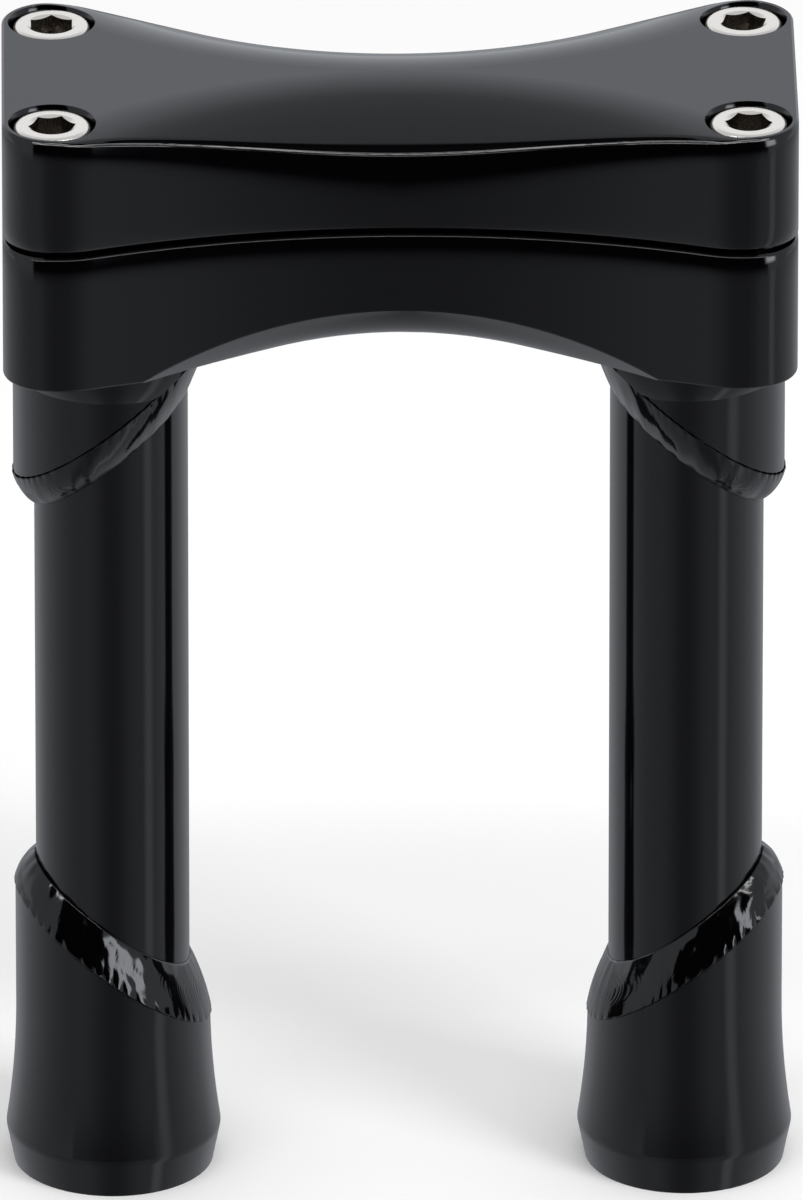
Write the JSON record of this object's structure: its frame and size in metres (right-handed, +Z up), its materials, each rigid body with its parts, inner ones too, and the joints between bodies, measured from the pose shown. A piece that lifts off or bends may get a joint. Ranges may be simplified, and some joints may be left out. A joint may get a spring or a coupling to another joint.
{
  "type": "motorcycle bar riser",
  "caption": "Handlebar riser: a split one-inch clamp with hollowed waist on two slash-welded tube legs with flared, tapped feet.",
  "frame": {"origin": "on the mounting surface under the feet, midway between the two legs", "axes": "+X along the handlebar's axis, towards the right leg; +Y towards the rear of the clamp; +Z up"},
  "size_m": [0.1222, 0.0536, 0.1843],
  "materials": {
    "gloss_black": "gloss",
    "painted_weld": "gloss",
    "stainless": "polished"
  },
  "bodies": {
    "root": {"top_clamp": "gloss_black", "lower_clamp": "gloss_black", "left_base": "gloss_black", "right_base": "gloss_black", "left_tube": "gloss_black", "right_tube": "gloss_black", "left_boss": "gloss_black", "right_boss": "gloss_black", "left_boss_weld": "painted_weld", "right_boss_weld": "painted_weld", "left_upper_weld": "painted_weld", "right_upper_weld": "painted_weld", "left_lower_weld": "painted_weld", "right_lower_weld": "painted_weld", "front_left_bolt": "stainless", "front_right_bolt": "stainless", "rear_left_bolt": "stainless", "rear_right_bolt": "stainless"}
  },
  "joints": []
}
